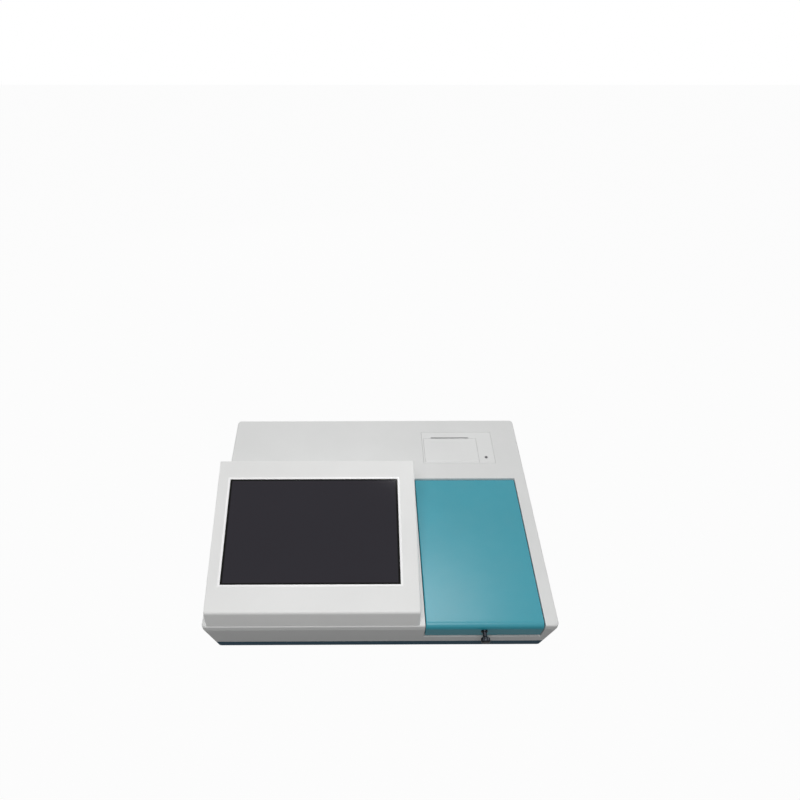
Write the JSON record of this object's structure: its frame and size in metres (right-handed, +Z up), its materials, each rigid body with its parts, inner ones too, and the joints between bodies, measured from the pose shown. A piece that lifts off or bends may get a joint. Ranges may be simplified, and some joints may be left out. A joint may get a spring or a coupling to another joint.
{
  "type": "rapid test reader",
  "caption": "Wedge-shaped bench reader with a raised screen pod, a lift-up lid over a motorised test tray and a small paper printer.",
  "frame": {"origin": "on the surface the feet stand on, under the middle of the whole instrument's box", "axes": "+X to the right seen from the front, along the longest side; +Y from the front to the back; +Z up"},
  "size_m": [0.432, 0.3634, 0.1556],
  "materials": {
    "base_blue": "fine textured moulding",
    "rubber": "soft matt",
    "screw_steel": "zinc plated",
    "case_white": "fine textured paint",
    "screen_glass": "dark bonded glass",
    "lcd_frame": "plated frame",
    "plated_steel": "plated sheet",
    "circuit_board": "solder mask",
    "bay_grey": "moulded",
    "polished_steel": "ground",
    "machined_aluminium": "machined",
    "motor_black": "moulded",
    "brass": "turned",
    "bearing_plastic": "moulded acetal",
    "tray_white": "moulded",
    "lid_teal": "semi-gloss moulding",
    "chrome": "turned and plated",
    "printer_grey": "moulded",
    "paper": "thermal paper",
    "button_grey": "moulded",
    "panel_grey": "powder coat"
  },
  "bodies": {
    "case": {"base_tray": "base_blue", "feet": "rubber", "case_screws": "screw_steel", "housing": "case_white", "screen_pod": "case_white", "pod_screws": "screw_steel", "touch_glass": "screen_glass", "lcd_panel": "lcd_frame", "lcd_bracket": "plated_steel", "display_board": "circuit_board", "sample_bay": "bay_grey", "lid_pads": "rubber", "guide_rods": "polished_steel", "rod_support": "machined_aluminium", "tray_motor": "motor_black", "motor_screws": "screw_steel", "read_head_cover": "bay_grey", "read_head_board": "circuit_board", "lenses": "motor_black", "hinge_pins": "polished_steel", "printer_frame": "printer_grey", "door_pin": "polished_steel", "print_head": "machined_aluminium", "feed_switch": "circuit_board", "back_panel": "panel_grey", "panel_screws": "screw_steel", "power_inlet": "motor_black", "port_screws": "screw_steel", "switch_housing": "motor_black", "lan_port": "plated_steel", "usb_ports": "plated_steel", "fan_frame": "motor_black", "board_standoffs": "brass", "main_board": "circuit_board", "heat_sink": "machined_aluminium", "power_supply": "plated_steel"},
    "lid": {"lid": "lid_teal", "lid_knob": "chrome", "knob_screw": "screw_steel"},
    "test_tray": {"test_tray": "tray_white", "tray_nut": "brass", "tray_bushings": "bearing_plastic"},
    "lead_screw": {"lead_screw": "polished_steel"},
    "printer_door": {"printer_door": "printer_grey"},
    "platen": {"platen_roller": "rubber", "platen_shaft": "polished_steel"},
    "paper_roll": {"paper_roll": "paper", "roll_spindle": "bearing_plastic"},
    "feed_button": {"feed_button": "button_grey"},
    "power_rocker": {"switch_rocker": "motor_black"},
    "fan_rotor": {"fan_rotor": "motor_black"}
  },
  "joints": [
    {"name": "lid_hinge", "type": "hinge", "parent": "case", "child": "lid", "pos_m": [0.12675, 0.0478, 0.08369], "axis": [-1, 0, 0], "range_deg": [0, 105]},
    {"name": "tray_slide", "type": "slide", "parent": "case", "child": "test_tray", "axis": [0, 1, 0], "range_m": [0, 0.095]},
    {"name": "screw_spin", "type": "hinge", "parent": "case", "child": "lead_screw", "pos_m": [0.12675, -0.06651, 0.0345], "axis": [0, 1, 0], "range_deg": [0, 4276]},
    {"name": "printer_door_hinge", "type": "hinge", "parent": "case", "child": "printer_door", "pos_m": [0.113, 0.0965, 0.09534], "axis": [1, 0, 0], "range_deg": [0, 92]},
    {"name": "platen_spin", "type": "hinge", "parent": "printer_door", "child": "platen", "pos_m": [0.113, 0.13741, 0.09474], "axis": [1, 0, 0], "continuous": true},
    {"name": "paper_roll_spin", "type": "hinge", "parent": "case", "child": "paper_roll", "pos_m": [0.113, 0.11844, 0.0748], "axis": [1, 0, 0], "continuous": true},
    {"name": "feed_button_press", "type": "slide", "parent": "case", "child": "feed_button", "axis": [0, 0.1444, -0.9895], "range_m": [0, 0.0008], "stiffness_N_per_m": 400, "springref_m": -0.0004},
    {"name": "power_rocker", "type": "hinge", "parent": "case", "child": "power_rocker", "pos_m": [-0.167, 0.17449, 0.052], "axis": [-1, 0, 0], "range_deg": [0, 16]},
    {"name": "fan_spin", "type": "hinge", "parent": "case", "child": "fan_rotor", "pos_m": [0.117, 0.17049, 0.054], "axis": [0, 1, 0], "continuous": true}
  ],
  "couplings": [
    {"joint": "screw_spin", "follows": "tray_slide", "rad_per_m": 785.4}
  ]
}
